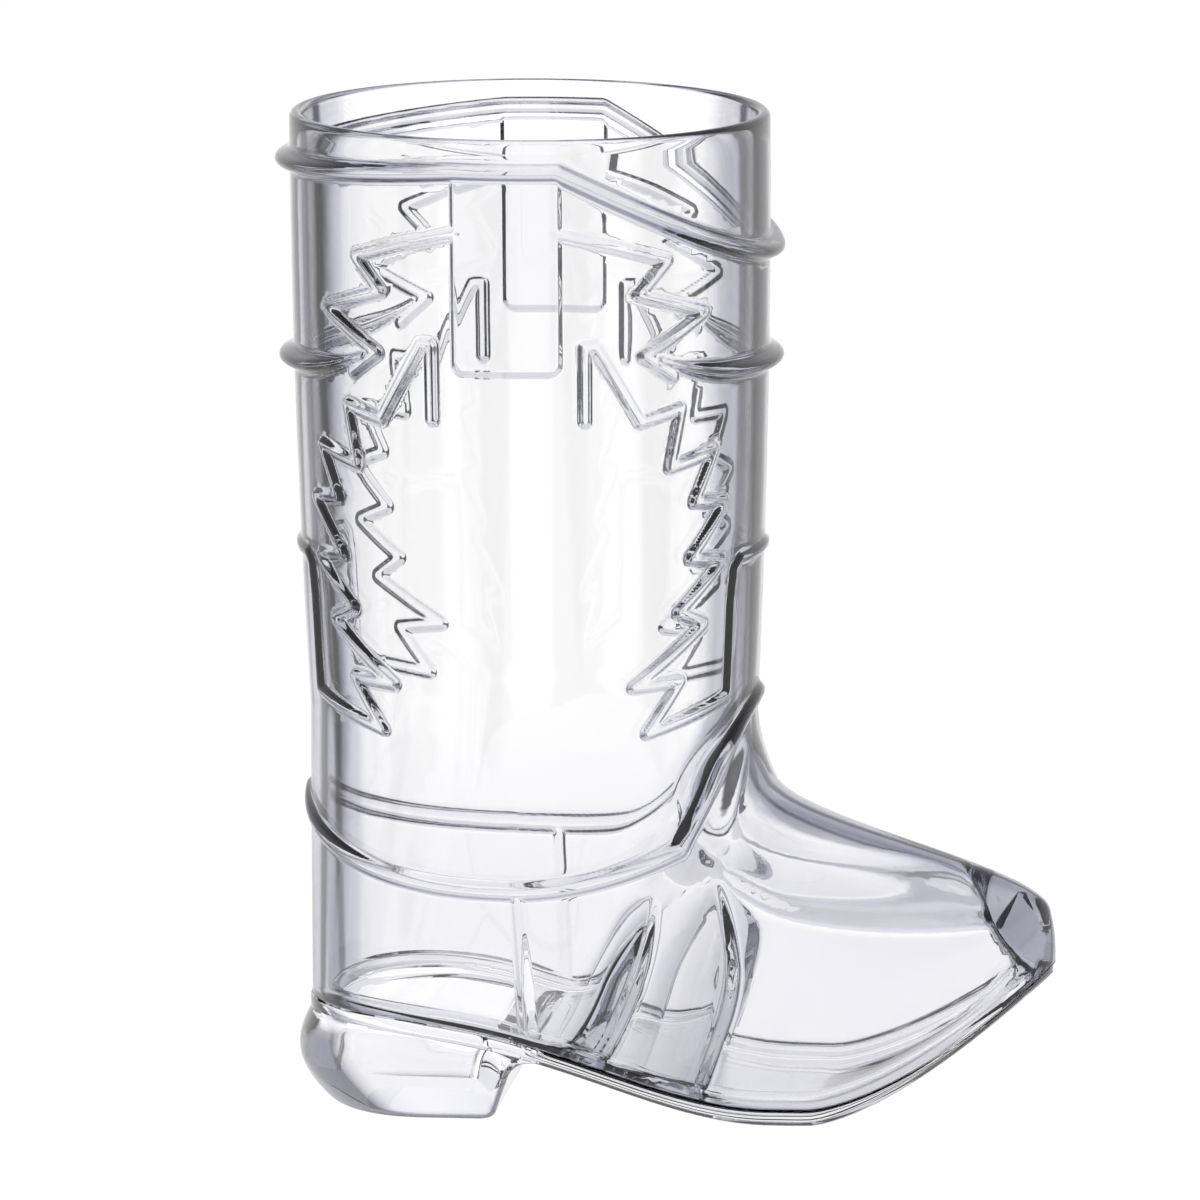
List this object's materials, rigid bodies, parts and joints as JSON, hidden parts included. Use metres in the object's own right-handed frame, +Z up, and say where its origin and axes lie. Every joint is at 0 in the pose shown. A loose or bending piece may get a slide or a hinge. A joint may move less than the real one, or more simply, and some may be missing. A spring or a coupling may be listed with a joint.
{
  "type": "boot-shaped drinking cup",
  "caption": "Clear plastic drinking cup in the shape of a western boot, with a round open shaft, a pointed toe, a welded sole and a hollow heel that it stands on.",
  "frame": {"origin": "under the middle of the cup's length and width, on the surface that it stands on", "axes": "+Z up along the shaft, +X from the heel towards the toe, +Y across the foot to the boot's left"},
  "size_m": [0.1214, 0.0788, 0.155],
  "materials": {
    "clear_shell": "clear, polished, faintly blue-grey",
    "clear_sole": "clear, polished, faintly blue-grey"
  },
  "bodies": {
    "root": {"boot_upper": "clear_shell", "outsole": "clear_sole"}
  },
  "joints": []
}
